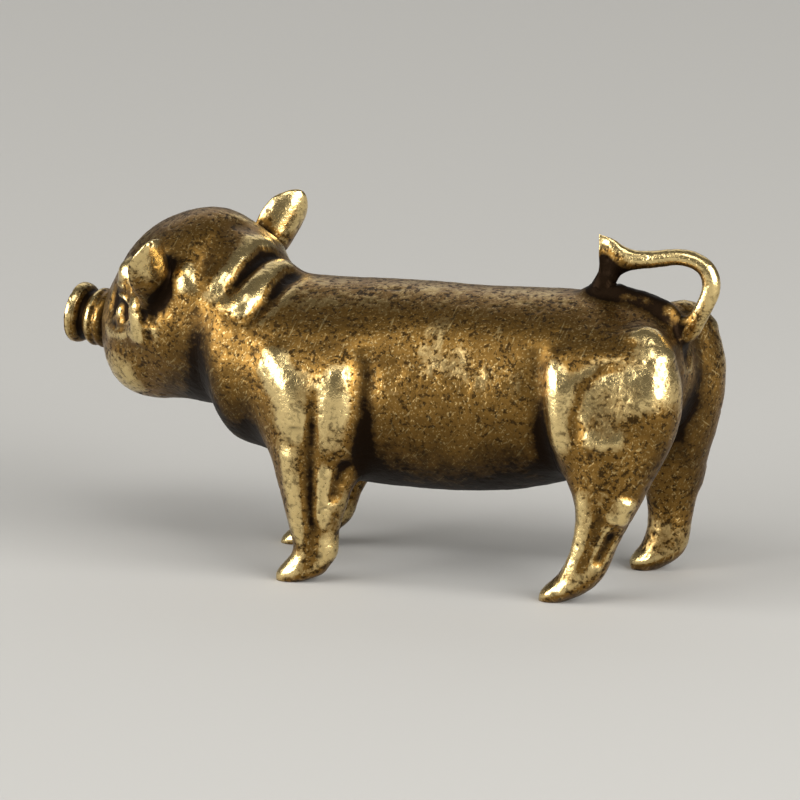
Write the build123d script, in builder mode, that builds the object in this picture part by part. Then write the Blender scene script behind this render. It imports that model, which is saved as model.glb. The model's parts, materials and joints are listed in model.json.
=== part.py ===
"""A small cast brass pig: it stands in a slow walk, with its head turned and its tail curled.

Lengths are in millimetres. The pig faces -X, its left side faces -Y and +Z is up.
Torso, head, snout, ears, legs and tail are separate castings, each fitted to the one it is brazed to.
The finished castings are set down with the floor at Z = 0 and the middle of the pig over the origin.
"""

import os
from math import cos, radians, sin

from build123d import *

# Torso
BELLY_HEIGHT = 5.1  # floor to the underside of the belly
TORSO_LENGTH = 29.2
TORSO_WIDTH = 11.8
TORSO_HEIGHT = 12.0
CHEST_X = -11.0  # front end of the torso, inside the head
RUMP_X = CHEST_X + TORSO_LENGTH
BACK_HEIGHT = BELLY_HEIGHT + TORSO_HEIGHT
# Each row: along the length, underside and top in the height, width.
torso_shares = (
    (0.00, 0.52, 0.88, 0.35),
    (0.04, 0.27, 0.97, 0.68),
    (0.11, 0.15, 1.00, 0.86),
    (0.22, 0.06, 0.99, 0.95),
    (0.40, 0.00, 1.00, 1.00),
    (0.60, 0.01, 1.00, 1.00),
    (0.76, 0.09, 1.01, 0.97),
    (0.88, 0.22, 0.98, 0.84),
    (0.96, 0.40, 0.88, 0.58),
    (1.00, 0.56, 0.74, 0.24),
)

# Legs: the right feet stand one step apart from the left ones, front ahead and rear behind.
# In both tables, each row: height, fore and aft place and length, outward place and width.
STEP = 2.7
REAR_LEG_HEIGHT = 15.5  # sole to the top of the thigh
THIGH_LENGTH = 8.1
THIGH_WIDTH = 5.1
HIP_INSET = 3.35  # from the rump to the middle of the thigh
HIP_X = RUMP_X - HIP_INSET
HIP_SINK = 1.95  # from the flank in to the middle of the thigh
HIP_SPREAD = TORSO_WIDTH / 2 - HIP_SINK
rear_leg_shares = (
    (0.000, -0.27, 0.20, 0.13, 0.36),
    (0.025, -0.22, 0.30, 0.13, 0.49),
    (0.080, -0.12, 0.34, 0.14, 0.53),
    (0.170, -0.04, 0.32, 0.14, 0.53),
    (0.260, 0.00, 0.35, 0.14, 0.57),
    (0.360, 0.03, 0.45, 0.11, 0.71),
    (0.465, 0.02, 0.62, 0.06, 0.88),
    (0.615, 0.00, 0.88, 0.02, 1.00),
    (0.775, -0.01, 1.00, 0.00, 1.00),
    (0.915, 0.00, 0.81, -0.04, 0.84),
    (1.000, 0.02, 0.40, -0.17, 0.45),
)
FRONT_LEG_HEIGHT = 14.4  # sole to the top of the shoulder
SHOULDER_LENGTH = 6.0
SHOULDER_WIDTH = 4.9
SHOULDER_SETBACK = 7.7  # from the chest to the middle of the shoulder
SHOULDER_X = CHEST_X + SHOULDER_SETBACK
SHOULDER_SINK = 1.85  # from the flank in to the middle of the shoulder
SHOULDER_SPREAD = TORSO_WIDTH / 2 - SHOULDER_SINK
front_leg_shares = (
    (0.000, -0.45, 0.28, 0.09, 0.37),
    (0.021, -0.37, 0.42, 0.09, 0.46),
    (0.056, -0.28, 0.47, 0.10, 0.49),
    (0.110, -0.16, 0.45, 0.10, 0.51),
    (0.195, -0.12, 0.47, 0.10, 0.55),
    (0.320, -0.08, 0.63, 0.09, 0.65),
    (0.450, -0.05, 0.80, 0.06, 0.80),
    (0.600, 0.01, 1.00, 0.03, 0.94),
    (0.765, 0.07, 1.14, 0.00, 1.00),
    (0.900, 0.10, 1.00, -0.05, 0.90),
    (1.000, 0.12, 0.60, -0.17, 0.50),
)

# Head: its middle lies ahead of the neck, turned and tipped towards the right.
NECK_SETBACK = 4.0  # from the chest to the neck
NECK_X = CHEST_X + NECK_SETBACK
HEAD_REACH = 6.4  # from the neck to the middle of the head
HEAD_DROP = 2.7  # from the top of the back to the middle of the head
HEAD_MIDDLE_HEIGHT = BACK_HEIGHT - HEAD_DROP
HEAD_TURN = 24.0
HEAD_TIP = 4.0
HEAD_LENGTH = 11.2
HEAD_WIDTH = 10.4
HEAD_HEIGHT = 11.4
# Each row: forward of the middle in the length, chin and crown in the height, width.
head_shares = (
    (-0.58, -0.25, 0.16, 0.50),
    (-0.42, -0.40, 0.34, 0.80),
    (-0.26, -0.47, 0.46, 0.94),
    (-0.10, -0.49, 0.50, 0.99),
    (0.09, -0.51, 0.45, 0.93),
    (0.27, -0.52, 0.34, 0.77),
    (0.41, -0.47, 0.17, 0.57),
    (0.49, -0.41, 0.05, 0.41),
    (0.53, -0.32, -0.05, 0.24),
)
JOWL_RADIUS = 2.9
JOWL_FORWARD = 1.9
JOWL_SPREAD = 2.2
JOWL_DROP = 2.9
EYE_RADIUS = 0.5
EYE_SOCKET_RADIUS = 0.75
EYE_FORWARD = 1.75
EYE_SPREAD = 4.65
EYE_RISE = 0.1
FOLD_COUNT = 2  # rolls of skin at the back of the neck
FOLD_RADIUS = 3.95
FOLD_THICKNESS = 1.8
FOLD_SPACING = 1.75
FOLD_BACK = 2.0  # from the middle of the head to the middle of the first roll
FOLD_RISE = 0.5
FOLD_TILT = 30.0

# Snout
SNOUT_DISC_RADIUS = 1.79
SNOUT_LENGTH = 3.05  # out of the head
SNOUT_ROOT = 1.6  # allowance that is cut back to fit the face
SNOUT_FORWARD = 6.0
SNOUT_DROP = 2.15
SNOUT_PITCH = 7.0
SNOUT_YAW = 12.0  # turned less far than the head
NOSTRIL_LENGTH = 0.8
NOSTRIL_WIDTH = 0.45
NOSTRIL_SPACING = 1.2
NOSTRIL_DEPTH = 0.5
# Each row: along the snout from the head, radius in the disc's. Two wrinkles, a groove and the disc.
snout_shares = (
    (0.06, 0.88),
    (0.14, 0.82),
    (0.24, 0.93),
    (0.46, 0.93),
    (0.56, 0.86),
    (0.62, 0.72),
    (0.72, 0.72),
    (0.80, 1.00),
    (0.93, 1.00),
    (1.00, 0.88),
)

# Ears
EAR_LENGTH = 5.1
EAR_WIDTH = 2.8
EAR_THICKNESS = 1.1
EAR_ROOT = 0.9  # allowance that is cut back to fit the head
EAR_SPREAD = 4.8
EAR_RISE = 2.0
EAR_SETBACK = 1.45
EAR_SPLAY = 27.5
EAR_SWEEP = 18.0  # laid back from upright
LEFT_EAR_TURN = -14.0  # its cup looks forward and inward
RIGHT_EAR_TURN = 20.0  # its cup looks forward and outward
EAR_CUP_RADIUS = 2.2
EAR_CUP_DEPTH = 0.4
# Each row: along the ear, width, thickness.
ear_shares = (
    (0.00, 0.52, 1.00),
    (0.25, 0.80, 1.00),
    (0.52, 1.00, 0.92),
    (0.78, 0.80, 0.78),
    (0.93, 0.46, 0.55),
    (1.00, 0.16, 0.28),
)

# Tail
TAIL_RADIUS = 0.54
TAIL_BEND = 1.55
TAIL_SPAN = 5.4  # from the curl's end to its rearmost corner
TAIL_RISE = 5.8  # from the root to the top of the curl
TAIL_ROOT_INSET = 1.6  # from the rump to the tail's root
TAIL_ROOT_X = RUMP_X - TAIL_ROOT_INSET
TAIL_ROOT_DROP = 2.9  # from the top of the back to the tail's root
TAIL_ROOT_HEIGHT = BACK_HEIGHT - TAIL_ROOT_DROP
tail_path_shares = ((0.00, 0.00), (0.55, 0.50), (0.47, 0.98), (-0.38, 0.85))
TUFT_LENGTH = 3.0
TUFT_HEIGHT = 4.4
TUFT_THICKNESS = 1.1
TUFT_EDGE = 0.35
# Outline of the tuft and of the web under it, from the curl's end and in the tuft's length and height.
tuft_tip_shares = (-0.70, 0.40)
tuft_toe_shares = (-0.62, -0.58)
web_end_shares = (1.05, -1.00)
web_back_shares = (1.05, -0.52)
web_front_shares = (0.22, -0.20)
tuft_neck_shares = (0.10, 0.12)
tuft_hollow_shares = (-0.36, 0.13)

# The head's own axes: out of the face, to its left and up
head_forward = Vector(-cos(radians(HEAD_TURN)), sin(radians(HEAD_TURN)), 0)
head_level = Vector(-sin(radians(HEAD_TURN)), -cos(radians(HEAD_TURN)), 0)
head_left = head_level * cos(radians(HEAD_TIP)) - Vector(0, 0, 1) * sin(radians(HEAD_TIP))
head_up = head_forward.cross(head_left)
head_middle = Vector(NECK_X, 0, HEAD_MIDDLE_HEIGHT) + head_forward * HEAD_REACH


def on_head(forward, left, up):
    """Point in the head's own axes, from its middle."""
    return head_middle + head_forward * forward + head_left * left + head_up * up


# Torso: a barrel, its straight back falling away at the rump
with BuildPart() as torso:
    for along, under, top, wide in torso_shares:
        level = BELLY_HEIGHT + TORSO_HEIGHT * (under + top) / 2
        place = (CHEST_X + TORSO_LENGTH * along, 0, level)
        with BuildSketch(Plane(place, x_dir=(0, 1, 0), z_dir=(1, 0, 0))):
            Ellipse(TORSO_WIDTH * wide / 2, TORSO_HEIGHT * (top - under) / 2)
    loft()

# Head, with jowls, eyes and rolls of skin at the back of the neck
with BuildPart() as head:
    for along, chin, crown, wide in head_shares:
        place = on_head(HEAD_LENGTH * along, 0, HEAD_HEIGHT * (chin + crown) / 2)
        with BuildSketch(Plane(place, x_dir=head_left, z_dir=head_forward)):
            Ellipse(HEAD_WIDTH * wide / 2, HEAD_HEIGHT * (crown - chin) / 2)
    loft()
    for side in (-1, 1):
        with Locations(on_head(JOWL_FORWARD, side * JOWL_SPREAD, -JOWL_DROP)):
            Sphere(JOWL_RADIUS)
    for side in (-1, 1):
        with Locations(on_head(EYE_FORWARD, side * EYE_SPREAD, EYE_RISE)):
            Sphere(EYE_SOCKET_RADIUS, mode=Mode.SUBTRACT)
    for side in (-1, 1):
        with Locations(on_head(EYE_FORWARD, side * (EYE_SPREAD - EYE_RADIUS), EYE_RISE)):
            Sphere(EYE_RADIUS)
    fold_axis = head_forward * cos(radians(FOLD_TILT)) + head_up * sin(radians(FOLD_TILT))
    for fold in range(FOLD_COUNT):
        centre = on_head(-FOLD_BACK, 0, FOLD_RISE) - fold_axis * FOLD_SPACING * fold
        with Locations(Plane(centre, x_dir=head_left, z_dir=fold_axis)):
            Torus(FOLD_RADIUS, FOLD_THICKNESS / 2)
    add(torso.part, mode=Mode.SUBTRACT)


def make_leg(shares, height, length, width, hip, side, step):
    """Leg from its flat sole up to the hip, stepped out most at the foot and cut to fit the body."""
    with BuildPart() as leg:
        for rise, fore_aft, long, out, wide in shares:
            middle = (hip.X + length * fore_aft + step * (1 - rise) ** 2, hip.Y + side * width * out)
            with BuildSketch(Plane.XY.offset(height * rise)):
                with Locations(middle):
                    Ellipse(length * long / 2, width * wide / 2)
        loft()
        add(torso.part, mode=Mode.SUBTRACT)
        add(head.part, mode=Mode.SUBTRACT)
    return leg.part


legs = {}
for name, side in (("left", -1), ("right", 1)):
    hip = Vector(HIP_X, side * HIP_SPREAD)
    legs[f"rear_{name}_leg"] = make_leg(
        rear_leg_shares, REAR_LEG_HEIGHT, THIGH_LENGTH, THIGH_WIDTH, hip, side, side * STEP / 2
    )
    shoulder = Vector(SHOULDER_X, side * SHOULDER_SPREAD)
    legs[f"front_{name}_leg"] = make_leg(
        front_leg_shares, FRONT_LEG_HEIGHT, SHOULDER_LENGTH, SHOULDER_WIDTH, shoulder, side, -side * STEP / 2
    )


def make_ear(side, turn):
    """Leaf-shaped ear, cupped on the side that faces forward, and cut to fit the head."""
    root = on_head(-EAR_SETBACK, side * EAR_SPREAD, EAR_RISE)
    upright = head_left * side * sin(radians(EAR_SPLAY)) + head_up * cos(radians(EAR_SPLAY))
    outward = upright * cos(radians(EAR_SWEEP)) - head_forward * sin(radians(EAR_SWEEP))
    ahead = head_forward * cos(radians(EAR_SWEEP)) + upright * sin(radians(EAR_SWEEP))
    facing = ahead * cos(radians(turn)) - ahead.cross(outward) * side * sin(radians(turn))
    across = facing.cross(outward)
    with BuildPart() as ear:
        for along, wide, thick in ear_shares:
            place = root + outward * (EAR_LENGTH * along - EAR_ROOT)
            with BuildSketch(Plane(place, x_dir=across, z_dir=outward)):
                Ellipse(EAR_WIDTH * wide / 2, EAR_THICKNESS * thick / 2)
        loft()
        cup = root + outward * EAR_LENGTH / 2 + facing * (EAR_THICKNESS / 2 + EAR_CUP_RADIUS - EAR_CUP_DEPTH)
        with Locations(cup):
            Sphere(EAR_CUP_RADIUS, mode=Mode.SUBTRACT)
        add(head.part, mode=Mode.SUBTRACT)
    return ear.part


ears = {"left_ear": make_ear(1, LEFT_EAR_TURN), "right_ear": make_ear(-1, RIGHT_EAR_TURN)}

# Snout, turned about its own axis
snout_level = head_forward * cos(radians(SNOUT_YAW)) + head_left * sin(radians(SNOUT_YAW))
snout_left = head_up.cross(snout_level)
snout_forward = snout_level * cos(radians(SNOUT_PITCH)) + head_up * sin(radians(SNOUT_PITCH))
snout_start = on_head(SNOUT_FORWARD, 0, -SNOUT_DROP)
with BuildPart() as snout:
    with BuildSketch(Plane(snout_start, x_dir=snout_forward, z_dir=snout_left)):
        with BuildLine():
            rings = [(SNOUT_LENGTH * along, SNOUT_DISC_RADIUS * wide) for along, wide in snout_shares]
            Polyline((-SNOUT_ROOT, 0), (-SNOUT_ROOT, rings[0][1]), *rings, (SNOUT_LENGTH, 0), close=True)
        make_face()
    revolve(axis=Axis(snout_start, snout_forward))
    nose = Plane(snout_start + snout_forward * SNOUT_LENGTH, x_dir=snout_left, z_dir=snout_forward)
    with BuildSketch(nose):
        with GridLocations(NOSTRIL_SPACING, 0, 2, 1):
            Ellipse(NOSTRIL_WIDTH / 2, NOSTRIL_LENGTH / 2)
    extrude(amount=-NOSTRIL_DEPTH, mode=Mode.SUBTRACT)
    add(head.part, mode=Mode.SUBTRACT)

# Tail: a round rod curled over the rump, ending in a flat tuft; a web below it stands on the back
tail_points = [
    (TAIL_ROOT_X + TAIL_SPAN * across, TAIL_ROOT_HEIGHT + TAIL_RISE * rise)
    for across, rise in tail_path_shares
]
curl_end = Vector(*tail_points[-1])


def on_tuft(shares):
    """Point of the outline of tuft and web, from the end of the curl."""
    return (curl_end.X + TUFT_LENGTH * shares[0], curl_end.Y + TUFT_HEIGHT * shares[1])


with BuildPart() as tail:
    with BuildSketch(Plane.XZ):
        with BuildLine():
            Polyline(
                on_tuft(tuft_tip_shares),
                on_tuft(tuft_toe_shares),
                on_tuft(web_end_shares),
                on_tuft(web_back_shares),
                on_tuft(web_front_shares),
                on_tuft(tuft_neck_shares),
            )
            ThreePointArc(on_tuft(tuft_neck_shares), on_tuft(tuft_hollow_shares), on_tuft(tuft_tip_shares))
        make_face()
    extrude(amount=TUFT_THICKNESS / 2, both=True)
    fillet(tail.edges().filter_by(Axis.Y, reverse=True), TUFT_EDGE)
    with BuildLine(Plane.XZ) as curl:
        FilletPolyline(*tail_points, radius=TAIL_BEND)
    with BuildSketch(Plane(curl.line @ 0, z_dir=curl.line % 0)):
        Circle(TAIL_RADIUS)
    sweep(path=curl.line)
    add(torso.part, mode=Mode.SUBTRACT)

castings = {"torso": torso.part, "head": head.part, "snout": snout.part, "tail": tail.part, **ears, **legs}

# Floor at Z = 0, with the middle of the pig over the origin
whole = Compound(children=[casting.solid() for casting in castings.values()]).bounding_box()
set_down = Location((-whole.center().X, -whole.center().Y, -whole.min.Z))

os.makedirs("parts", exist_ok=True)
for name, casting in castings.items():
    placed = casting.moved(set_down)
    placed.label = name
    export_step(placed, f"parts/{name}.step")
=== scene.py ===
import json
import math

import bpy
import numpy as np
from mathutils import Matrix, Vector


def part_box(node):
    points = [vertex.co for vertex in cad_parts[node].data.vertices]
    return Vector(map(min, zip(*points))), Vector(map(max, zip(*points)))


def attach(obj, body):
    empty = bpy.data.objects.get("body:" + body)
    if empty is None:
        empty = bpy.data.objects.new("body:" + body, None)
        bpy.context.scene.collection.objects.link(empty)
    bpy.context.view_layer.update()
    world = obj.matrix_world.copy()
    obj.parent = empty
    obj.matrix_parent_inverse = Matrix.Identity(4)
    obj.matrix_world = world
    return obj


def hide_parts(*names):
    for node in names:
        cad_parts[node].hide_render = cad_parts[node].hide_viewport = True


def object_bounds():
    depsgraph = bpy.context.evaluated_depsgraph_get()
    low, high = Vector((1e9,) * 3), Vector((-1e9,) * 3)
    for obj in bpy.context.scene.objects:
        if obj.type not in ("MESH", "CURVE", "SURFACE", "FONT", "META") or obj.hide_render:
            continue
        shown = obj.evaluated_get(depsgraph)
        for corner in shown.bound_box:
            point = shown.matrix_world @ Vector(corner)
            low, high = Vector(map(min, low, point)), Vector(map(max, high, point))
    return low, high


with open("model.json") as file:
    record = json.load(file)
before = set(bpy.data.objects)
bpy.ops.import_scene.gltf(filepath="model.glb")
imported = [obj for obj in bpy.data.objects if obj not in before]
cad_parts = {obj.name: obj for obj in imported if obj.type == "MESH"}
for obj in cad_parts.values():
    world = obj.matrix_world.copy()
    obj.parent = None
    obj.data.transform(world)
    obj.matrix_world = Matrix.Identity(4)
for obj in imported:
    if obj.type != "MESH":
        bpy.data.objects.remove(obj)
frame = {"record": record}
cadLow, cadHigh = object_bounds()
mm = 0.001  # in metres

# The pig's own millimetres: x runs back from a point inside the shoulders, y to its right, z up from the floor.
torsoLow, torsoHigh = (np.array(corner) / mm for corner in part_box("torso"))
chestX = -11.0
pigOrigin = np.array([torsoLow[0] - chestX, (torsoLow[1] + torsoHigh[1]) / 2, 0.0])
boxLow, boxHigh = np.array(cadLow) / mm - pigOrigin, np.array(cadHigh) / mm - pigOrigin
print("frame loaded, pig's origin at", pigOrigin.round(3))


def throughRows(rows, count=320):
    # natural cubic curve through the rows' first column, for all the other columns at once
    rows = np.array(rows, float)
    at, values = rows[:, 0], rows[:, 1:]
    step = np.diff(at)
    slope = np.diff(values, axis=0) / step[:, None]
    inner = np.arange(1, len(at) - 1)
    system, right = np.eye(len(at)), np.zeros_like(values)
    system[inner, inner - 1] = step[:-1]
    system[inner, inner] = 2 * (step[:-1] + step[1:])
    system[inner, inner + 1] = step[1:]
    right[inner] = 6 * np.diff(slope, axis=0)
    bend = np.linalg.solve(system, right)
    fine = np.linspace(at[0], at[-1], count)
    k = np.clip(np.searchsorted(at, fine, side="right") - 1, 0, len(at) - 2)
    a, b = ((at[k + 1] - fine) / step[k])[:, None], ((fine - at[k]) / step[k])[:, None]
    pull = (step[k] ** 2)[:, None] / 6
    return fine, a * values[k] + b * values[k + 1] + pull * ((a**3 - a) * bend[k] + (b**3 - b) * bend[k + 1])


def makeStack(name, rows, origin, along, first, second, caps=(0.0, 0.0), margin=2.5, bend=0.0):
    # ovals stacked on a straight axis; rows give place along it, then both middles and both half sizes in mm.
    # A cap is the length over which an end is rounded like an egg. Bend moves a point along the second way
    # by so much times the square of its place along the first, which makes a shell of a leaf.
    fine, values = throughRows(rows)
    axes = np.array([along, first, second], float)
    middle = np.array(origin) + np.stack([fine, values[:, 0], values[:, 1]], 1) @ axes
    reach = values[:, 2:].max() + margin
    return dict(name=name, fine=fine, values=values, slopes=np.gradient(values, fine, axis=0),
                origin=np.array(origin, float), axes=axes, caps=caps, bend=bend,
                low=middle.min(0) - reach, high=middle.max(0) + reach)


def capPart(stack, along):
    # 0 between the caps, growing to 1 at a rounded end
    first, last = stack["fine"][0], stack["fine"][-1]
    part = np.zeros_like(along)
    if stack["caps"][0]:
        part += np.maximum(first + stack["caps"][0] - along, 0) / stack["caps"][0]
    if stack["caps"][1]:
        part += np.maximum(along - last + stack["caps"][1], 0) / stack["caps"][1]
    return part


def stackDistance(stack, points):
    # about how far each point lies outside the stack: (oval radius - 1) over the length of its gradient
    local = (points - stack["origin"]) @ stack["axes"].T
    fine, caps = stack["fine"], stack["caps"]
    along = np.clip(local[:, 0], fine[0], fine[-1])
    place = (along - fine[0]) / (fine[1] - fine[0])
    k = np.clip(place.astype(int), 0, len(fine) - 2)
    part = (place - k)[:, None]
    c1, c2, r1, r2 = (stack["values"][k] * (1 - part) + stack["values"][k + 1] * part).T
    d1, d2, e1, e2 = (stack["slopes"][k] * (1 - part) + stack["slopes"][k + 1] * part).T
    flat = local[:, 2] - stack["bend"] * local[:, 1] ** 2
    a, b, cap = (local[:, 1] - c1) / r1, (flat - c2) / r2, capPart(stack, local[:, 0])
    m = np.sqrt(a * a + b * b + cap * cap) + 1e-9
    towards = np.where(local[:, 0] > (fine[0] + fine[-1]) / 2, 1 / (caps[1] or 1), -1 / (caps[0] or 1))
    gb = b / (r2 * m)
    ga = a / (r1 * m) - 2 * stack["bend"] * local[:, 1] * gb
    gs = (cap * towards - a * (d1 + a * e1) / r1 - b * (d2 + b * e2) / r2) / m
    far = (m - 1) / np.sqrt(ga * ga + gb * gb + gs * gs)
    beyond = (local[:, 0] - along) * np.where(local[:, 0] > along, not caps[1], not caps[0])
    return np.where(beyond != 0, np.hypot(np.maximum(far, 0), beyond), far)


def stackGrid(stack, alongCount, aroundCount):
    # the stack's own skin: rows of points along the axis, each row once round its oval
    fine, values = stack["fine"], stack["values"]
    t = np.linspace(0, 1, alongCount)
    ease = np.where(t < 0.5, 1 if stack["caps"][0] else 0, 1 if stack["caps"][1] else 0)
    t = t + ease * (0.5 - 0.5 * np.cos(np.pi * t) - t)
    at = fine[0] + (fine[-1] - fine[0]) * t
    round = np.sqrt(np.clip(1 - capPart(stack, at) ** 2, 1e-5, 1))[:, None]
    c1, c2, r1, r2 = (np.interp(at, fine, column)[:, None] for column in values.T)
    angle = np.linspace(0, 2 * np.pi, aroundCount, endpoint=False)[None, :]
    first, second = c1 + r1 * round * np.cos(angle), c2 + r2 * round * np.sin(angle)
    local = np.stack([np.broadcast_to(at[:, None], first.shape), first, second + stack["bend"] * first**2], -1)
    return stack["origin"] + local @ stack["axes"]


# Torso: a barrel with a straight back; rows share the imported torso's box
torso = dict(
    name="torso", alongCount=256, aroundCount=330,
    length=torsoHigh[0] - torsoLow[0], width=11.7, height=12.0, belly=5.1,
    # along, underside, top, width
    rows=[(0.00, 0.52, 0.88, 0.45), (0.04, 0.27, 0.97, 0.70), (0.11, 0.15, 1.00, 0.86), (0.22, 0.06, 0.99, 0.95),
          (0.40, 0.00, 1.00, 1.00), (0.60, 0.01, 1.00, 1.00), (0.76, 0.09, 1.01, 0.97), (0.88, 0.22, 0.98, 0.84),
          (0.96, 0.38, 0.90, 0.62), (1.00, 0.50, 0.80, 0.40)],
)


def torsoStack(t):
    rows = [(t["length"] * a, 0.0, t["belly"] + t["height"] * (u + o) / 2, t["width"] * w / 2, t["height"] * (o - u) / 2)
            for a, u, o, w in t["rows"]]
    return makeStack("torso", rows, (chestX, 0, 0), (1, 0, 0), (0, 1, 0), (0, 0, 1), caps=(1.2, 1.2))


# Legs: ovals stacked up from each sole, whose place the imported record's mounts give
rearLeg = dict(
    alongCount=165, aroundCount=200, height=15.5, length=8.1, width=4.9,
    stepBack=2.7, soleForward=-0.27, soleOut=0.13,
    # height, fore and aft middle, length, outward middle, width
    rows=[(0.000, -0.27, 0.20, 0.13, 0.36), (0.025, -0.22, 0.30, 0.13, 0.49), (0.080, -0.12, 0.34, 0.14, 0.53),
          (0.170, -0.04, 0.32, 0.14, 0.53), (0.260, 0.00, 0.35, 0.14, 0.57), (0.360, 0.03, 0.45, 0.11, 0.71),
          (0.465, 0.02, 0.62, 0.06, 0.88), (0.615, 0.00, 0.88, 0.02, 1.00), (0.775, -0.01, 1.00, 0.00, 1.00),
          (0.915, 0.00, 0.81, -0.04, 0.84), (1.000, 0.02, 0.50, -0.17, 0.55)],
)
frontLeg = dict(
    alongCount=155, aroundCount=180, height=14.4, length=6.0, width=4.4,
    stepBack=-2.7, soleForward=-0.45, soleOut=0.09,
    rows=[(0.000, -0.45, 0.28, 0.09, 0.37), (0.021, -0.37, 0.42, 0.09, 0.46), (0.056, -0.28, 0.47, 0.10, 0.49),
          (0.110, -0.16, 0.45, 0.10, 0.51), (0.195, -0.12, 0.47, 0.10, 0.55), (0.320, -0.08, 0.63, 0.09, 0.65),
          (0.450, -0.05, 0.80, 0.06, 0.80), (0.600, 0.01, 1.00, 0.03, 0.94), (0.765, 0.07, 1.14, 0.00, 1.00),
          (0.900, 0.10, 1.00, -0.05, 0.90), (1.000, 0.12, 0.70, -0.17, 0.55)],
)
solePlace = {m["name"]: np.array(m["pos_m"]) / mm - pigOrigin for m in frame["record"]["mounts"]}


def legStack(name, leg, side):
    # side is -1 on the pig's left and 1 on its right; the step fades with the square of the height that is left
    sole = solePlace[name.replace("_leg", "_sole")]
    step = side * leg["stepBack"] / 2
    hip = sole - np.array([leg["length"] * leg["soleForward"] + step, side * leg["width"] * leg["soleOut"], 0])
    rows = [(leg["height"] * h, leg["length"] * f + step * (1 - h) ** 2, side * leg["width"] * o,
             leg["length"] * l / 2, leg["width"] * w / 2) for h, f, l, o, w in leg["rows"]]
    return makeStack(name, rows, hip, (0, 0, 1), (1, 0, 0), (0, 1, 0), caps=(0.0, 1.0))


# Head: turned to the right and tipped a little; rows share its length, height and width
head = dict(
    name="head", alongCount=170, aroundCount=340,
    neckX=-7.0, reach=6.4, middleHeight=14.4, turn=math.radians(24), tip=math.radians(4),
    length=11.2, width=10.4, height=11.4,
    # forward, chin, crown, width
    rows=[(-0.58, -0.25, 0.16, 0.50), (-0.42, -0.40, 0.34, 0.80), (-0.26, -0.47, 0.46, 0.94), (-0.10, -0.49, 0.50, 0.99),
          (0.09, -0.51, 0.45, 0.93), (0.27, -0.52, 0.335, 0.77), (0.41, -0.47, 0.17, 0.57), (0.49, -0.41, 0.05, 0.42),
          (0.53, -0.34, -0.05, 0.32)],
)
headForward = np.array([-math.cos(head["turn"]), math.sin(head["turn"]), 0.0])
headLevel = np.array([-math.sin(head["turn"]), -math.cos(head["turn"]), 0.0])
headLeft = headLevel * math.cos(head["tip"]) - np.array([0, 0, 1]) * math.sin(head["tip"])
headUp = np.cross(headForward, headLeft)
headMiddle = np.array([head["neckX"], 0, head["middleHeight"]]) + headForward * head["reach"]
headAxes = np.array([headForward, headLeft, headUp])


def onHead(forward, left, up):
    return headMiddle + headForward * forward + headLeft * left + headUp * up


def headStack(h):
    rows = [(h["length"] * f, 0.0, h["height"] * (c + t) / 2, h["width"] * w / 2, h["height"] * (t - c) / 2)
            for f, c, t, w in h["rows"]]
    return makeStack("head", rows, headMiddle, headForward, headLeft, headUp, caps=(1.0, 0.8))


# Ears: shells bent forward at both rims, swept back and set each at its own turn about its length
ear = dict(
    alongCount=90, aroundCount=150, length=5.1, width=2.6, thickness=1.05, bend=0.28, root=0.9,
    setback=1.45, spread=4.8, rise=2.0, splay=math.radians(27.5), sweep=math.radians(18),
    turn={1: math.radians(-14), -1: math.radians(20)},
    # along, width, thickness
    rows=[(0.00, 0.66, 1.15), (0.25, 0.92, 1.05), (0.50, 1.06, 0.95), (0.75, 0.98, 0.80), (1.00, 0.72, 0.60)],
)


def earFrame(e, side):
    # root, way out along the shell, way across it and the way that its cup faces
    upright = headLeft * side * math.sin(e["splay"]) + headUp * math.cos(e["splay"])
    outward = upright * math.cos(e["sweep"]) - headForward * math.sin(e["sweep"])
    ahead = headForward * math.cos(e["sweep"]) + upright * math.sin(e["sweep"])
    turn = e["turn"][side]
    facing = ahead * math.cos(turn) - np.cross(ahead, outward) * side * math.sin(turn)
    root = onHead(-e["setback"], side * e["spread"], e["rise"]) - outward * e["root"]
    return root, outward, np.cross(facing, outward), facing


def earStack(name, e, side):
    root, outward, across, facing = earFrame(e, side)
    rows = [(e["length"] * a, 0.0, 0.0, e["width"] * w / 2, e["thickness"] * t / 2) for a, w, t in e["rows"]]
    return makeStack(name, rows, root, outward, across, facing, caps=(0.0, 1.5), bend=e["bend"])


# Snout: turned about its own axis, with two wrinkles, a groove and the nose disc
snout = dict(
    name="snout", alongCount=150, aroundCount=200, disc=1.79, length=3.05, root=1.6, forward=6.0, drop=2.15,
    pitch=math.radians(7), yaw=math.radians(12),
    # along, radius
    rows=[(-0.56, 0.80), (0.00, 0.84), (0.07, 0.90), (0.13, 0.86), (0.21, 0.92), (0.30, 0.95), (0.36, 0.91), (0.43, 0.95),
          (0.52, 0.92), (0.60, 0.80), (0.69, 0.78), (0.77, 0.92), (0.84, 0.98), (0.92, 0.99), (1.00, 0.95)],
)
snoutLevel = headForward * math.cos(snout["yaw"]) + headLeft * math.sin(snout["yaw"])
snoutForward = snoutLevel * math.cos(snout["pitch"]) + headUp * math.sin(snout["pitch"])
snoutLeft = np.cross(headUp, snoutLevel)
snoutUp = np.cross(snoutForward, snoutLeft)
snoutStart = onHead(snout["forward"], 0, -snout["drop"])


def snoutStack(s):
    rows = [(s["length"] * a, 0.0, 0.0, s["disc"] * r, s["disc"] * r) for a, r in s["rows"]]
    return makeStack("snout", rows, snoutStart, snoutForward, snoutLeft, snoutUp, caps=(0.0, 0.22))


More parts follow.
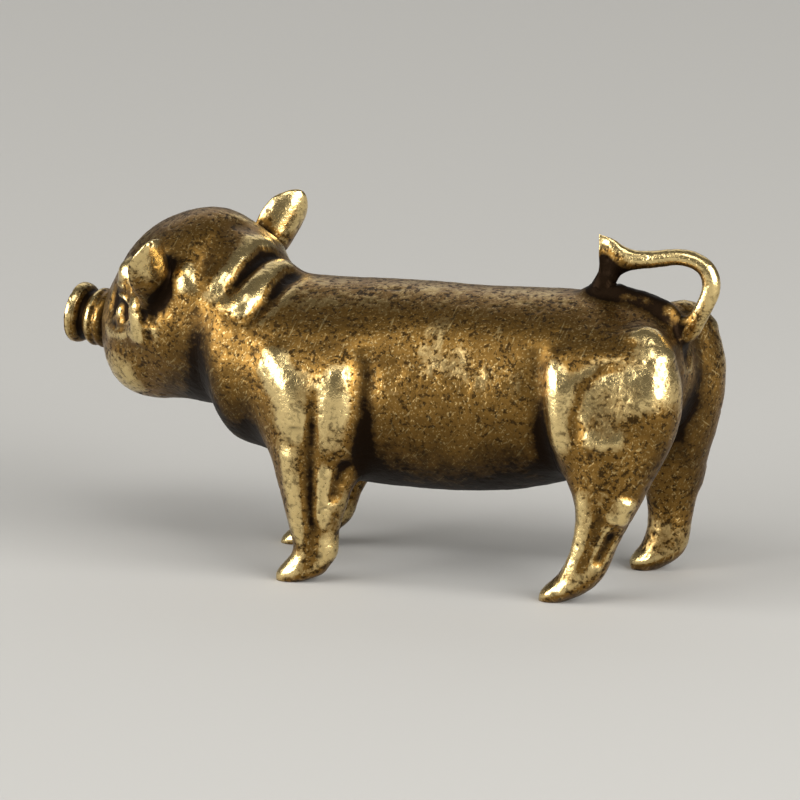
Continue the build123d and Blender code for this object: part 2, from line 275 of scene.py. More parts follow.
# Tail: a rod curled over the rump; its end spreads into a flat tuft that stands on the back
tail = dict(
    name="tail", alongCount=260, aroundCount=84, cap=0.22,
    # x, z, half thickness across, half height in the curl's own plane
    rows=[(16.9, 13.9, 0.75, 0.80), (17.6, 14.7, 0.62, 0.68), (18.25, 15.55, 0.53, 0.56), (19.02, 16.92, 0.50, 0.51),
          (19.41, 18.14, 0.52, 0.54), (19.15, 19.02, 0.52, 0.54), (18.25, 19.58, 0.50, 0.50), (16.84, 19.62, 0.48, 0.48),
          (15.53, 19.40, 0.47, 0.50), (14.5, 19.33, 0.45, 0.62), (13.79, 19.38, 0.38, 0.86), (13.18, 19.46, 0.29, 1.12),
          (12.52, 19.44, 0.21, 1.38)],
)


def tailPath(t):
    # natural cubic curve through the rows by their running length: middles, tangents, both half sizes
    rows = np.array(t["rows"])
    run = np.concatenate([[0], np.cumsum(np.hypot(*np.diff(rows[:, :2], axis=0).T))])
    fine, values = throughRows(np.column_stack([run, rows]), 200)
    middle = np.stack([values[:, 0], np.zeros(len(fine)), values[:, 1]], 1)
    forward = np.gradient(middle, fine, axis=0)
    forward /= np.linalg.norm(forward, axis=1, keepdims=True)
    inward = np.stack([-forward[:, 2], np.zeros(len(fine)), forward[:, 0]], 1)
    return dict(name="tail", fine=fine, middle=middle, forward=forward, inward=inward, half=values[:, 2:],
                low=middle.min(0) - 4.0, high=middle.max(0) + 4.0, cap=t["cap"])


def tailDistance(path, points):
    # distance to the oval at the nearest point of the path's centre line; the tuft's edge is rounded by a cap
    offset = points[:, None, :] - path["middle"][None, ::2, :]
    nearest = np.argmin((offset**2).sum(2), 1) * 2
    along = path["fine"][nearest] + ((points - path["middle"][nearest]) * path["forward"][nearest]).sum(1)
    at = np.clip(along, path["fine"][0], path["fine"][-1])
    read = lambda table: np.stack([np.interp(at, path["fine"], column) for column in table.T], 1)
    near = points - read(path["middle"])
    hw, hh = read(path["half"]).T
    a, b = near[:, 1] / hw, (near * read(path["inward"])).sum(1) / hh
    cap = np.maximum(along - path["fine"][-1] + path["cap"], 0) / path["cap"]
    m = np.sqrt(a * a + b * b + cap * cap) + 1e-9
    far = (m - 1) / np.sqrt((a / (hw * m)) ** 2 + (b / (hh * m)) ** 2 + (cap / (path["cap"] * m)) ** 2)
    beyond = np.minimum(along - path["fine"][0], 0)
    return np.where(beyond != 0, np.hypot(np.maximum(far, 0), beyond), far)


def tailGrid(path, alongCount, aroundCount):
    # an oval carried along the path, its flat side kept upright
    t = 0.5 - 0.5 * np.cos(np.pi * np.linspace(0, 1, alongCount))
    t = 0.6 * np.linspace(0, 1, alongCount) + 0.4 * t
    at = path["fine"][0] + (path["fine"][-1] - path["fine"][0]) * t
    read = lambda table: np.stack([np.interp(at, path["fine"], column) for column in table.T], 1)
    middle, inward, half = read(path["middle"]), read(path["inward"]), read(path["half"])
    cap = np.clip((at - path["fine"][-1] + path["cap"]) / path["cap"], 0, 1)
    half = half * np.sqrt(np.clip(1 - cap**2, 1e-5, 1))[:, None]
    angle = np.linspace(0, 2 * np.pi, aroundCount, endpoint=False)[None, :, None]
    across = np.array([0.0, 1.0, 0.0])
    return (middle[:, None, :] + np.cos(angle) * half[:, None, :1] * across
            + np.sin(angle) * half[:, None, 1:] * inward[:, None, :])


stacks = {
    "torso": torsoStack(torso),
    "head": headStack(head),
    "front_left_leg": legStack("front_left_leg", frontLeg, -1),
    "front_right_leg": legStack("front_right_leg", frontLeg, 1),
    "rear_left_leg": legStack("rear_left_leg", rearLeg, -1),
    "rear_right_leg": legStack("rear_right_leg", rearLeg, 1),
    "left_ear": earStack("left_ear", ear, 1),
    "right_ear": earStack("right_ear", ear, -1),
    "snout": snoutStack(snout),
    "tail": tailPath(tail),
}
# how far the metal of one piece flows into the next, mm
meltWidth = {"torso": 0.0, "head": 1.5, "front_left_leg": 1.6, "front_right_leg": 1.6, "rear_left_leg": 1.6,
             "rear_right_leg": 1.6, "left_ear": 0.5, "right_ear": 0.5, "snout": 0.35, "tail": 0.5}
farAway = 9.0


def pieceDistance(name, points):
    # one piece's distance; points well outside its box are simply far away
    stack = stacks[name]
    near = np.all((points > stack["low"]) & (points < stack["high"]), 1)
    result = np.full(len(points), farAway)
    measure = tailDistance if name == "tail" else stackDistance
    if near.any():
        result[near] = np.minimum(measure(stack, points[near]), farAway)
    return result


def lineDistance(points, line):
    # distance to a broken line and how far along it, from 0 to 1, the nearest point lies
    line = np.array(line, float)
    best, where = np.full(len(points), farAway), np.zeros(len(points))
    lengths = np.linalg.norm(np.diff(line, axis=0), axis=1)
    start = np.concatenate([[0], np.cumsum(lengths)]) / lengths.sum()
    for k in range(len(line) - 1):
        run = line[k + 1] - line[k]
        t = np.clip((points - line[k]) @ run / (run @ run), 0, 1)
        far = np.linalg.norm(points - line[k] - t[:, None] * run, axis=1)
        closer = far < best
        best = np.where(closer, far, best)
        where = np.where(closer, start[k] + t * (start[k + 1] - start[k]), where)
    return best, where


# Modelled details, as bumps (positive) and hollows (negative) in mm. Lines fade out at both ends.
detailLines, detailSpots = [], []


def headLine(points, width, rise, mirror=True):
    for side in ((1, -1) if mirror else (1,)):
        detailLines.append((np.array([onHead(f, side * l, u) for f, l, u in points]), width, rise))


def headSpot(place, width, rise, mirror=True):
    for side in ((1, -1) if mirror else (1,)):
        detailSpots.append((onHead(place[0], side * place[1], place[2]), width, rise))


def bodyLine(points, width, rise):
    for side in (1, -1):
        detailLines.append((np.array([(x, side * y, z) for x, y, z in points]), width, rise))


def legLine(kind, points, width, rise):
    # points are height in mm and degrees round the leg from its front by the outer side to its back
    for side in (-1, 1):
        stack = stacks[kind + ("_left_leg" if side < 0 else "_right_leg")]
        height, angle = np.array(points, float).T
        c1, c2, r1, r2 = (np.interp(height, stack["fine"], column) for column in stack["values"].T)
        angle = np.radians(angle)
        line = stack["origin"] + np.stack([c1 - r1 * np.cos(angle), c2 + side * r2 * np.sin(angle), height], 1)
        detailLines.append((line, width, rise))


# face: jowls, sockets with eyes and lids, brows, cheek bones, wrinkles, hollows behind the ears
headSpot((2.2, 2.75, -3.3), 1.80, 1.15)
headLine([(3.6, 3.45, 0.45), (2.8, 3.95, 0.45), (2.0, 4.4, 0.35), (1.2, 4.7, 0.25), (0.6, 4.9, 0.2)], 0.85, -0.48)
headSpot((1.95, 4.30, 0.15), 0.58, 0.58)
headLine([(3.1, 3.75, 0.95), (2.3, 4.2, 1.15), (1.5, 4.55, 1.1), (0.7, 4.85, 0.7)], 0.20, 0.24)
headLine([(3.0, 3.7, 1.5), (2.2, 4.1, 1.7), (1.2, 4.5, 1.6)], 0.18, 0.13)
headLine([(2.9, 3.9, -0.25), (2.0, 4.4, -0.50), (1.1, 4.8, -0.35), (0.6, 4.95, 0.05)], 0.20, 0.18)
headSpot((1.9, 3.75, 2.55), 0.72, 0.50)
headLine([(0.6, 4.3, 3.1), (0.4, 4.7, 2.2), (0.4, 4.9, 1.4)], 0.34, -0.20)
headLine([(0.2, 4.95, 1.5), (0.0, 5.05, 0.2), (0.1, 5.0, -1.6)], 0.62, 0.26)
headLine([(4.2, 3.0, -1.1), (2.8, 4.0, -1.4), (1.4, 4.7, -1.1), (0.4, 5.0, -0.6)], 0.34, 0.20)
for wrinkle in ([(-0.4, 5.1, 0.7), (-0.8, 5.1, 0.4), (-0.6, 5.1, 0.1), (-1.0, 5.1, -0.2)],
                [(-1.2, 5.1, 0.8), (-1.5, 5.1, 0.5), (-1.2, 5.1, 0.2), (-1.6, 5.1, -0.1)],
                [(-0.5, 5.1, -0.5), (-1.0, 5.1, -0.6), (-0.8, 5.1, -0.9), (-1.3, 5.1, -1.0)]):
    headLine(wrinkle, 0.17, -0.13)
headSpot((-1.6, 5.0, 1.2), 0.95, -0.14)
headSpot((-3.0, 4.1, 2.9), 0.95, 0.28)
# rolls of skin round the nape
headLine([(-3.3, -2.2, 4.6), (-3.3, 0.0, 5.15), (-3.5, 1.2, 4.95), (-3.77, 2.35, 4.24), (-4.0, 3.5, 3.1), (-4.5, 4.1, 2.0)],
         0.58, -0.19, mirror=False)
headLine([(-4.5, -2.6, 3.5), (-4.5, -0.3, 4.1), (-4.95, 1.2, 3.7), (-5.1, 2.6, 2.95), (-5.1, 3.7, 2.1)],
         0.62, 0.40, mirror=False)
headLine([(-5.2, -2.6, 2.9), (-5.2, -0.7, 3.45), (-5.6, 1.2, 3.2), (-5.7, 2.8, 2.6), (-5.9, 3.9, 1.7)],
         0.58, -0.19, mirror=False)
headLine([(-6.0, -2.4, 2.5), (-6.4, 0.0, 3.0), (-6.75, 1.6, 2.6), (-6.9, 2.9, 2.0), (-6.85, 4.2, 1.1)],
         0.65, 0.45, mirror=False)
headLine([(-7.3, -1.5, 2.6), (-7.8, 0.6, 2.5), (-8.1, 2.4, 1.8), (-7.6, 4.2, 0.7)], 0.50, -0.28, mirror=False)
# creases behind the shoulder and before the thigh, cleft of the rump, lump under the tail
bodyLine([(-0.1, -5.3, 14.3), (0.25, -5.8, 12.6), (0.25, -5.9, 10.2), (-0.2, -5.2, 7.6), (-0.6, -4.2, 6.4)], 0.75, -0.30)
bodyLine([(10.5, -4.6, 15.3), (10.7, -5.6, 13.2), (10.85, -5.8, 10.9), (11.0, -5.3, 9.0), (11.4, -4.0, 7.4)], 0.75, -0.30)
bodyLine([(17.9, 0.0, 15.0), (18.6, 0.0, 13.0), (18.0, 0.0, 10.0)], 0.55, -0.35)
tailRidge = np.array([(11.3, 0, 17.2), (12.4, 0, 17.5), (13.6, 0, 17.6), (15.2, 0, 17.3), (16.6, 0, 16.7), (17.9, 0, 15.6)])
detailLines.append((tailRidge, 0.72, 0.85))
# shoulder that leans to the neck, oval upper arm behind it, groove between them, hollow over the elbow
bodyLine([(-6.2, -4.9, 13.7), (-5.1, -5.7, 12.8), (-4.4, -6.0, 11.6), (-4.0, -6.1, 10.2), (-3.8, -6.0, 8.4)], 0.90, 0.34)
bodyLine([(-0.8, -5.5, 14.0), (-1.4, -6.3, 12.3), (-1.5, -6.4, 10.7), (-1.45, -6.2, 8.8), (-1.5, -5.9, 7.2)], 0.95, 0.24)
legLine("front", [(9.0, 62), (7.0, 62), (4.5, 64), (2.0, 58)], 0.65, 0.22)
legLine("front", [(12.0, 96), (9.8, 92), (7.6, 94), (5.4, 95), (3.4, 97), (1.6, 99), (0.3, 102)], 0.44, -0.24)
legLine("front", [(7.6, 118), (6.4, 116), (4.8, 116), (3.2, 122)], 0.50, 0.20)
legLine("front", [(7.7, 146), (6.8, 142), (5.6, 138), (4.8, 136)], 0.48, -0.20)
# thigh: front muscle, flat facet with a slight ledge under it, hip behind it, hock, hollow over the heel
bodyLine([(11.5, -5.0, 15.0), (11.9, -6.0, 12.8), (12.1, -6.0, 10.4), (12.6, -5.6, 8.2)], 0.85, 0.34)
bodyLine([(13.4, -6.4, 9.5), (13.0, -6.4, 11.2), (13.5, -6.2, 13.0), (14.7, -5.8, 14.0), (16.2, -5.4, 14.2)], 0.42, -0.11)
bodyLine([(13.4, -6.4, 10.2), (14.8, -6.6, 9.8), (16.4, -6.3, 10.2)], 0.55, 0.08)
for side in (1, -1):
    detailSpots.append((np.array([15.1, side * 6.9, 12.4]), 1.85, -0.50))
bodyLine([(15.4, -3.0, 16.8), (16.8, -3.9, 16.0), (17.5, -4.5, 14.6), (17.3, -4.9, 12.6), (16.5, -5.2, 10.6)], 1.20, 0.58)
legLine("rear", [(6.6, 140), (5.6, 138), (4.8, 136)], 0.70, 0.24)
legLine("rear", [(4.6, 136), (3.9, 134), (3.0, 130), (2.3, 126)], 0.34, -0.28)
legLine("rear", [(7.2, 60), (5.0, 50), (3.0, 50), (1.4, 45)], 0.55, 0.18)
legLine("rear", [(6.2, 92), (5.0, 96), (3.4, 96), (1.8, 92)], 0.32, -0.16)
# nostrils, hollow faces of the tuft
for side in (1, -1):
    detailSpots.append((snoutStart + snoutForward * snout["length"] + snoutLeft * side * 0.66 + snoutUp * 0.05, 0.40, -0.45))
    detailLines.append((np.array([(12.55, side * 0.35, 20.8), (12.75, side * 0.40, 19.6), (13.05, side * 0.40, 18.0)]), 0.45, -0.13))
print(len(detailLines), "lines and", len(detailSpots), "spots to model")


def detailAt(points):
    # sum of all bumps: each is its rise times a bell curve of the distance
    total = np.zeros(len(points))
    for place, width, rise in detailSpots:
        far = ((points - place) ** 2).sum(1) / (width * width)
        near = far < 9
        total[near] += rise * np.exp(-far[near])
    for line, width, rise in detailLines:
        near = np.all((points > line.min(0) - 3 * width) & (points < line.max(0) + 3 * width), 1)
        if near.any():
            far, where = lineDistance(points[near], line)
            fade = np.clip(np.minimum(where, 1 - where) * 5, 0, 1)
            total[near] += rise * fade * np.exp(-(far / width) ** 2)
    return total


def wholeField(points, own=None):
    # the whole casting: pieces joined one by one by a smooth minimum, less the modelled details;
    # also the own piece's distance less the nearest other one's
    field, ownFar, otherFar = None, None, np.full(len(points), farAway)
    for name in stacks:
        far = pieceDistance(name, points)
        if name == own:
            ownFar = far
        else:
            otherFar = np.minimum(otherFar, far)
        if field is None:
            field = far
        else:
            k = meltWidth[name]
            h = np.clip(0.5 + 0.5 * (field - far) / k, 0, 1)
            field = field + h * (far - field) - k * h * (1 - h)
    return field - detailAt(points), None if own is None else ownFar - otherFar


def outwardNormals(grid):
    # cross product of the two grid directions, turned away from the rows' middles
    normal = np.cross(np.roll(grid, -1, 1) - np.roll(grid, 1, 1), np.gradient(grid, axis=0))
    normal /= np.linalg.norm(normal, axis=2, keepdims=True) + 1e-12
    return normal if ((grid - grid.mean(1, keepdims=True)) * normal).sum() > 0 else -normal


melt = dict(highest=1.7, lowest=-0.9, strides=(0.9, 0.9, 0.9, 0.6, 0.6, 0.5, 0.5, 0.5), sink=0.25)


def meltGrid(name, grid):
    # moves each point along its own normal onto the whole casting's skin; past the seam with
    # a neighbour it sinks under the neighbour's skin
    shape = grid.shape
    points, normal = grid.reshape(-1, 3), outwardNormals(grid).reshape(-1, 3)
    move = np.zeros(len(points))
    for stride in melt["strides"]:
        field, lead = wholeField(points + move[:, None] * normal, name)
        move = np.clip(move - stride * field, melt["lowest"], melt["highest"])
    hidden = np.clip((lead - 0.05) / 0.4, 0, 1)
    move = move - melt["sink"] * hidden * hidden * (3 - 2 * hidden)
    moved = points + move[:, None] * normal
    moved[:, 2] = np.maximum(moved[:, 2], 0.0)
    return moved.reshape(shape)


def latticeNoise(points, size):
    # smooth random values between -1 and 1, one for each corner of a cubic lattice of this size in mm
    cell = np.floor(points / size)
    part = points / size - cell
    weight = part * part * (3 - 2 * part)
    total = np.zeros(len(points))
    for corner in np.ndindex(2, 2, 2):
        share = np.prod(np.where(corner, weight, 1 - weight), 1)
        value = np.sin((cell + corner) @ np.array([127.1, 311.7, 74.7])) * 43758.5453
        total += share * (value - np.floor(value))
    return 2 * total - 1


# Skin of the casting: uneven wax at three sizes, and casting pits
skin = dict(waves=((1.6, 0.022), (0.7, 0.016), (0.34, 0.012)), pitSize=0.34, pitLevel=0.58, pitDepth=0.045)


def pitAt(points):
    # 1 in the lattice noise's hollows, 0 elsewhere
    return np.clip((latticeNoise(points + 31.0, skin["pitSize"]) - skin["pitLevel"]) / 0.35, 0, 1)


def roughAt(points):
    waves = sum(rise * latticeNoise(points + 7.0 * size, size) for size, rise in skin["waves"])
    return waves - skin["pitDepth"] * pitAt(points)


# painted light and shade spots: painted shade (positive) in the eye sockets, at the ear roots, on the ridge under the
# tail and on the faces of the tuft;
# painted highlights (negative) on the rolls of the nape, shoulders, thighs, hips and backs of the ears
paintedLightAndShadeSpots = [(place + np.array([0, 0, 0.5]), 0.95, 0.9) for place in tailRidge[1:-1]]
for side in (1, -1):
    paintedLightAndShadeSpots += [(onHead(2.3, side * 4.1, 0.3), 1.05, 0.45), (np.array([12.85, side * 0.5, 18.8]), 0.62, 0.9)]
    paintedLightAndShadeSpots += [(onHead(*place), 1.0, -0.32) for place in
                ((-3.2, side * 3.9, 2.4), (-5.3, side * 3.5, 2.0), (-7.4, side * 3.6, 1.8))]
    paintedLightAndShadeSpots += [(np.array([x, side * y, z]), width, -0.26) for x, y, z, width in
                ((-5.2, 5.7, 12.4, 1.4), (-4.0, 6.1, 9.6, 1.2), (-1.5, 6.4, 10.8, 1.2), (12.0, 6.1, 12.4, 1.1),
                 (15.1, 6.5, 12.2, 1.7), (17.3, 4.5, 14.8, 1.7))]
    earRoot, earOutward, earAcross, earFacing = earFrame(ear, side)
    paintedLightAndShadeSpots.append((earRoot + earOutward * 4.0 - earFacing * 0.5, 1.3, -0.40))
    paintedLightAndShadeSpots.append((earRoot + earOutward * 1.0 - earFacing * 0.4, 0.9, 0.40))


def paintedLightAndShadeAt(points):
    # sum of bell curves of the distance
    return sum(share * np.exp(-((points - place) ** 2).sum(1) / width**2) for place, width, share in paintedLightAndShadeSpots)


def shadeAndPatinaOf(points, normal):
    # patina and painted shade: how much less room there is above the skin than on a ball, which darkens creases: the
    # field at three heights against the height;
    # painted shade on skin that looks down, most of all the belly's; and the painted light and shade spots count too
    room = sum((height - wholeField(points + height * normal)[0]) / height for height in (0.3, 0.7, 1.5)) / 3
    belly = np.clip(1 - pieceDistance("torso", points) / 0.9, 0, 1)
    # painted shade: skin that faces down is darkened as if it were in shadow
    under = (0.45 + 0.55 * belly) * np.clip((0.35 - normal[:, 2]) / 1.35, 0, 1)
    return np.clip(room + under + paintedLightAndShadeAt(points), 0, 1)


def wearAndSheenOf(points, normal):
    # 0.5 on the flat, more on bulges, less in hollows and in the patina: the mean field at four points beside it;
    # raised at the painted highlight spots and lowered at the painted shade spots
    reach = 0.55
    first = np.cross(normal, np.where(np.abs(normal[:, :1]) < 0.8, (1.0, 0.0, 0.0), (0.0, 1.0, 0.0)))
    first /= np.linalg.norm(first, axis=1, keepdims=True) + 1e-9
    second = np.cross(normal, first)
    beside = sum(wholeField(points + reach * way)[0] for way in (first, -first, second, -second)) / 4
    return np.clip(0.5 + 2.2 * (beside - wholeField(points)[0]) / reach - paintedLightAndShadeAt(points), 0, 1)


def addMesh(name, grid):
    # grid of rows closed round; a single point closes each end
    rows, around = grid.shape[:2]
    points = np.concatenate([grid.reshape(-1, 3), grid[:1].mean(1), grid[-1:].mean(1)])
    normal = np.concatenate([outwardNormals(grid).reshape(-1, 3), [grid[0].mean(0) - grid[1].mean(0)],
                             [grid[-1].mean(0) - grid[-2].mean(0)]])
    normal /= np.linalg.norm(normal, axis=1, keepdims=True) + 1e-12
    # the first two attributes carry painted shade and painted highlights as well as patina and wear
    measured = {"shadeAndPatina": shadeAndPatinaOf(points, normal), "wearAndSheen": wearAndSheenOf(points, normal), "pit": pitAt(points)}
    points = points + (roughAt(points) * np.clip(points[:, 2] / 0.4, 0, 1))[:, None] * normal
    points = np.clip(points, boxLow, boxHigh)
    i, j = np.meshgrid(np.arange(rows - 1), np.arange(around), indexing="ij")
    right = (j + 1) % around
    quads = np.stack([i * around + j, i * around + right, (i + 1) * around + right, (i + 1) * around + j], -1).reshape(-1, 4)
    ring = np.arange(around)
    turn = (ring + 1) % around
    firstFan = np.stack([turn, ring, np.full(around, rows * around)], 1)
    lastFan = np.stack([(rows - 1) * around + ring, (rows - 1) * around + turn, np.full(around, rows * around + 1)], 1)
    a, b, c = points[quads[:, 0]], points[quads[:, 1]], points[quads[:, 3]]
    middle = grid.mean(1)[quads[:, 0] // around]
    if (np.cross(b - a, c - a) * (a - middle)).sum() < 0:
        quads, firstFan, lastFan = quads[:, ::-1], firstFan[:, ::-1], lastFan[:, ::-1]
    mesh = bpy.data.meshes.new(name)
    corners = np.concatenate([quads.ravel(), firstFan.ravel(), lastFan.ravel()])
    totals = np.concatenate([np.full(len(quads), 4), np.full(2 * around, 3)])
    mesh.vertices.add(len(points))
    mesh.loops.add(len(corners))
    mesh.polygons.add(len(totals))
    mesh.vertices.foreach_set("co", ((points + pigOrigin) * mm).astype(np.float32).ravel())
    mesh.loops.foreach_set("vertex_index", corners.astype(np.int32))
    mesh.polygons.foreach_set("loop_start", np.concatenate([[0], np.cumsum(totals)[:-1]]).astype(np.int32))
    mesh.polygons.foreach_set("use_smooth", np.ones(len(totals), bool))
    mesh.update(calc_edges=True)
    mesh.validate()
    for label, values in measured.items():
        layer = mesh.attributes.new(label, "FLOAT", "POINT")
        layer.data.foreach_set("value", values.astype(np.float32))
    piece = bpy.data.objects.new(name, mesh)
    bpy.context.scene.collection.objects.link(piece)
    return piece


def linear(hexColour):
    # sRGB hex to the linear values that a shader takes
    srgb = np.array([int(hexColour[k:k + 2], 16) for k in (1, 3, 5)]) / 255
    values = np.where(srgb <= 0.04045, srgb / 12.92, ((srgb + 0.055) / 1.055) ** 2.4)
    return (*values.tolist(), 1.0)


def addNode(tree, kind, links=(), **settings):
    # one node with its settings; each link is (socket to fill, node, that node's output)
    node = tree.nodes.new(kind)
    inputs = settings.pop("inputs", {})
    for key, value in settings.items():
        setattr(node, key, value)
    for key, value in inputs.items():
        node.inputs[key].default_value = value
    for socket, source, output in links:
        tree.links.new(source.outputs[output], node.inputs[socket])
    return node


# Antique brass, lost-wax cast, darkened and rubbed back: pale gold on rubbed bulges and as painted highlights, brown
# full of dark specks on the rest, brown-black where the patina stayed in creases and casting pits, and as painted shade
# in creases and under the belly; a satin gloss broken up by scratches.
brass = dict(rubbed="#e0c68a", tarnished="#80602e", patinaAndShadeColour="#1c130b",
             speckSize=0.29, blotchSize=1.1, cloudSize=5.0, scratchLength=0.75, scratchWidth=0.06)


def castBrass(b):
    material = bpy.data.materials.new("antique_cast_brass")
    material.use_nodes = True
    tree = material.node_tree
    tree.nodes.clear()
    place = addNode(tree, "ShaderNodeTexCoord")
    shadeAndPatina = addNode(tree, "ShaderNodeAttribute", attribute_name="shadeAndPatina")
    wearAndSheen = addNode(tree, "ShaderNodeAttribute", attribute_name="wearAndSheen")
    pit = addNode(tree, "ShaderNodeAttribute", attribute_name="pit")
    cloud = addNode(tree, "ShaderNodeTexNoise", [("Vector", place, "Object")],
                    inputs={"Scale": 1 / (b["cloudSize"] * mm), "Detail": 3.0})
    blotch = addNode(tree, "ShaderNodeTexNoise", [("Vector", place, "Object")],
                     inputs={"Scale": 1 / (b["blotchSize"] * mm), "Detail": 4.0, "Roughness": 0.6})
    speck = addNode(tree, "ShaderNodeTexNoise", [("Vector", place, "Object")],
                    inputs={"Scale": 1 / (b["speckSize"] * mm), "Detail": 2.5, "Roughness": 0.65})
    # scratches: noise drawn out along four directions, only its peaks kept
    scratched = None
    for turn in ((0.5, 0.2, 0.9), (-0.7, 0.9, -0.3), (0.2, -0.9, 2.1), (1.3, 1.4, 0.4)):
        lie = addNode(tree, "ShaderNodeMapping", [("Vector", place, "Object")], inputs={"Rotation": turn})
        lie = addNode(tree, "ShaderNodeMapping", [("Vector", lie, 0)],
                      inputs={"Scale": (1 / (b["scratchLength"] * mm), *[1 / (b["scratchWidth"] * mm)] * 2)})
        line = addNode(tree, "ShaderNodeTexNoise", [("Vector", lie, 0)], inputs={"Scale": 0.5, "Detail": 0.0})
        line = addNode(tree, "ShaderNodeMapRange", [("Value", line, "Fac")],
                       inputs={"From Min": 0.72, "From Max": 0.80, "To Min": 0.0, "To Max": 0.45})
        scratched = line if scratched is None else addNode(
            tree, "ShaderNodeMath", [(0, scratched, 0), (1, line, 0)], operation="MAXIMUM")
    # how much tarnish is left, with painted shade and painted highlights in it: more in creases, on downward faces and
    # in blotches, less on bulges and at the painted highlight spots
    tarnishAndShade = addNode(tree, "ShaderNodeMath", [(0, shadeAndPatina, "Fac")], operation="MULTIPLY_ADD", inputs={1: 1.25, 2: 0.80})
    for source, share in ((wearAndSheen, -1.7), (blotch, 0.8), (cloud, 0.7), (speck, 0.55)):
        tarnishAndShade = addNode(tree, "ShaderNodeMath", [(0, source, "Fac"), (2, tarnishAndShade, 0)],
                          operation="MULTIPLY_ADD", inputs={1: share})
    tone = addNode(tree, "ShaderNodeMapRange", [("Value", tarnishAndShade, 0)],
                   inputs={"From Min": 0.50, "From Max": 0.95, "To Min": 0.0, "To Max": 1.0})
    gold = addNode(tree, "ShaderNodeMix", [(0, tone, 0)], data_type="RGBA",
                   inputs={6: linear(b["rubbed"]), 7: linear(b["tarnished"])})
    gold = addNode(tree, "ShaderNodeMix", [(0, scratched, 0), (6, gold, 2)], data_type="RGBA",
                   inputs={7: linear(b["rubbed"])})
    # dark: the deepest tarnish together with painted shade, the specks of tarnished skin and the casting pits
    deep = addNode(tree, "ShaderNodeMapRange", [("Value", tarnishAndShade, 0)],
                   inputs={"From Min": 1.05, "From Max": 1.95, "To Min": 0.0, "To Max": 1.0})
    level = addNode(tree, "ShaderNodeMath", [(0, blotch, "Fac"), (2, speck, "Fac")], operation="MULTIPLY_ADD", inputs={1: 0.3})
    specks = addNode(tree, "ShaderNodeMapRange", [("Value", level, 0)],
                     inputs={"From Min": 0.67, "From Max": 0.77, "To Min": 0.0, "To Max": 0.85})
    share = addNode(tree, "ShaderNodeMath", [(0, tone, 0)], operation="MULTIPLY_ADD", inputs={1: 0.55, 2: 0.45})
    specks = addNode(tree, "ShaderNodeMath", [(0, specks, 0), (1, share, 0)], operation="MULTIPLY")
    dark = addNode(tree, "ShaderNodeMath", [(0, deep, 0), (1, specks, 0)], operation="MAXIMUM")
    dark = addNode(tree, "ShaderNodeMath", [(0, dark, 0), (1, pit, "Fac")], operation="MAXIMUM")
    colour = addNode(tree, "ShaderNodeMix", [(0, dark, 0), (6, gold, 2)], data_type="RGBA",
                     inputs={7: linear(b["patinaAndShadeColour"])})
    gloss = addNode(tree, "ShaderNodeMath", [(0, tone, 0)], operation="MULTIPLY_ADD", inputs={1: 0.13, 2: 0.22})
    gloss = addNode(tree, "ShaderNodeMath", [(0, dark, 0), (2, gloss, 0)], operation="MULTIPLY_ADD", inputs={1: 0.2})
    height = addNode(tree, "ShaderNodeMath", [(0, speck, "Fac")], operation="MULTIPLY", inputs={1: -1.0})
    height = addNode(tree, "ShaderNodeMath", [(0, scratched, 0), (2, height, 0)], operation="MULTIPLY_ADD", inputs={1: -0.3})
    bump = addNode(tree, "ShaderNodeBump", [("Height", height, 0)], inputs={"Strength": 0.45, "Distance": 0.06 * mm})
    shader = addNode(tree, "ShaderNodeBsdfPrincipled",
                     [("Base Color", colour, 2), ("Roughness", gloss, 0), ("Normal", bump, 0)], inputs={"Metallic": 1.0})
    addNode(tree, "ShaderNodeOutputMaterial", [("Surface", shader, 0)])
    return material


brassMaterial = castBrass(brass)
sizes = {"torso": torso, "head": head, "snout": snout, "tail": tail, "left_ear": ear, "right_ear": ear,
         "front_left_leg": frontLeg, "front_right_leg": frontLeg, "rear_left_leg": rearLeg, "rear_right_leg": rearLeg}
for name, stack in stacks.items():
    makeGrid = tailGrid if name == "tail" else stackGrid
    grid = makeGrid(stack, sizes[name]["alongCount"], sizes[name]["aroundCount"])
    piece = addMesh("brass_" + name, meltGrid(name, grid))
    piece.data.materials.append(brassMaterial)
    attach(piece, "root")
    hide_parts(name)
    print("made", piece.name, len(piece.data.polygons), "faces")

# Floor: one pale sheet of matt card
floor = dict(size=2.0, card="#aeaca7", grain=0.8)
floorMesh = bpy.data.meshes.new("floor")
half = floor["size"] / 2
floorMesh.from_pydata([(-half, -half, 0), (half, -half, 0), (half, half, 0), (-half, half, 0)], [], [(0, 1, 2, 3)])
floorPiece = bpy.data.objects.new("floor", floorMesh)
bpy.context.scene.collection.objects.link(floorPiece)
card = bpy.data.materials.new("matt_card")
card.use_nodes = True
cardTree = card.node_tree
cardTree.nodes.clear()
cardPlace = addNode(cardTree, "ShaderNodeTexCoord")
cardNoise = addNode(cardTree, "ShaderNodeTexNoise", [("Vector", cardPlace, "Object")],
                    inputs={"Scale": 1 / (floor["grain"] * mm), "Detail": 3.0})
cardBump = addNode(cardTree, "ShaderNodeBump", [("Height", cardNoise, "Fac")],
                   inputs={"Strength": 0.15, "Distance": 0.05 * mm})
cardShader = addNode(cardTree, "ShaderNodeBsdfPrincipled", [("Normal", cardBump, 0)],
                     inputs={"Base Color": linear(floor["card"]), "Roughness": 0.85})
addNode(cardTree, "ShaderNodeOutputMaterial", [("Surface", cardShader, 0)])
floorMesh.materials.append(card)
print("floor laid")

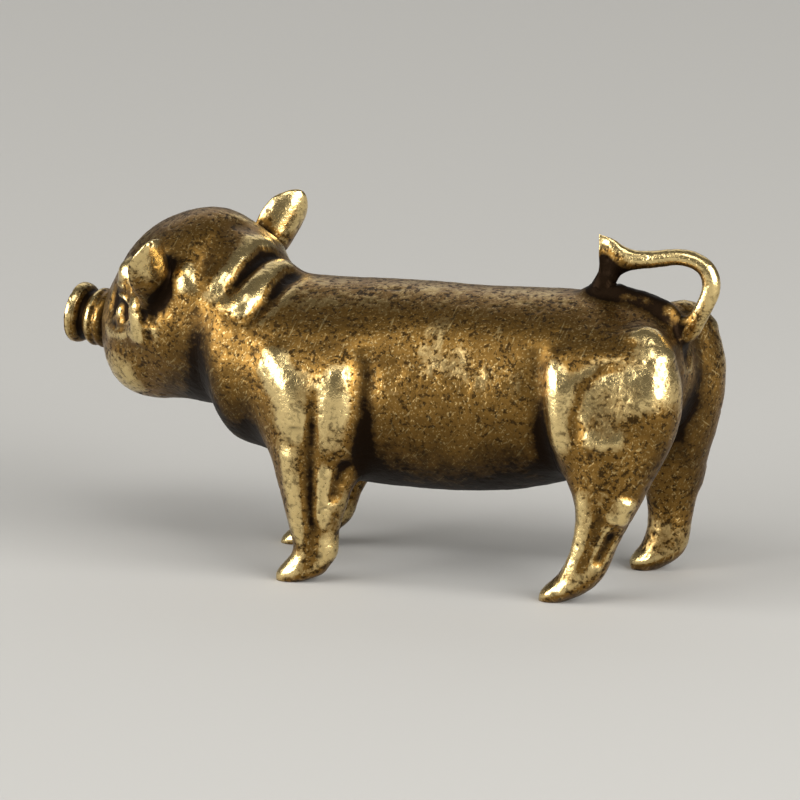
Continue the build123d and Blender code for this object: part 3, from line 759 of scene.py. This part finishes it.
# Camera: 18 degrees behind the left side and 13 above, far enough for a long lens
camera = dict(azimuth=math.radians(18), elevation=math.radians(13), distance=1200.0, pixelsPerMm=17.25,
              imagePixels=800, sensor=36.0, target=(0.55, 0.0, 10.03))
back = Vector((math.sin(camera["azimuth"]) * math.cos(camera["elevation"]),
               -math.cos(camera["azimuth"]) * math.cos(camera["elevation"]), math.sin(camera["elevation"])))
target = Vector((np.array(camera["target"]) + pigOrigin) * mm)
lens = bpy.data.cameras.new("camera")
lens.sensor_width = camera["sensor"]
lens.lens = camera["sensor"] * camera["distance"] * camera["pixelsPerMm"] / camera["imagePixels"]
lens.clip_start, lens.clip_end = 0.01, 10.0
eye = bpy.data.objects.new("camera", lens)
eye.location = target + back * camera["distance"] * mm
eye.rotation_mode = "QUATERNION"
eye.rotation_quaternion = (-back).to_track_quat("-Z", "Y")
bpy.context.scene.collection.objects.link(eye)
bpy.context.scene.camera = eye

# Light: wide soft boxes low at the left and the right, one above the camera and one behind, in a dim grey room
lamps = dict(
    left=dict(place=(-490, -300, 110), size=(540, 520), watts=7.0),
    right=dict(place=(440, -200, 170), size=(440, 460), watts=5.4),
    front=dict(place=(20, -300, 480), size=(360, 220), watts=0.96),
    rear=dict(place=(-120, 440, 340), size=(600, 400), watts=0.60),
)
for label, lamp in lamps.items():
    light = bpy.data.lights.new(label + "_box", "AREA")
    light.shape = "RECTANGLE"
    light.size, light.size_y = (side * mm for side in lamp["size"])
    light.energy = lamp["watts"]
    box = bpy.data.objects.new(label + "_box", light)
    box.location = target + Vector(lamp["place"]) * mm
    box.rotation_mode = "QUATERNION"
    box.rotation_quaternion = (target - box.location).to_track_quat("-Z", "Y")
    bpy.context.scene.collection.objects.link(box)
room = bpy.data.worlds.new("room")
bpy.context.scene.world = room
room.use_nodes = True
room.node_tree.nodes["Background"].inputs["Color"].default_value = linear("#a8a6a2")
room.node_tree.nodes["Background"].inputs["Strength"].default_value = 0.36
bpy.context.scene.view_settings.view_transform = "Standard"
print("camera and lamps set")
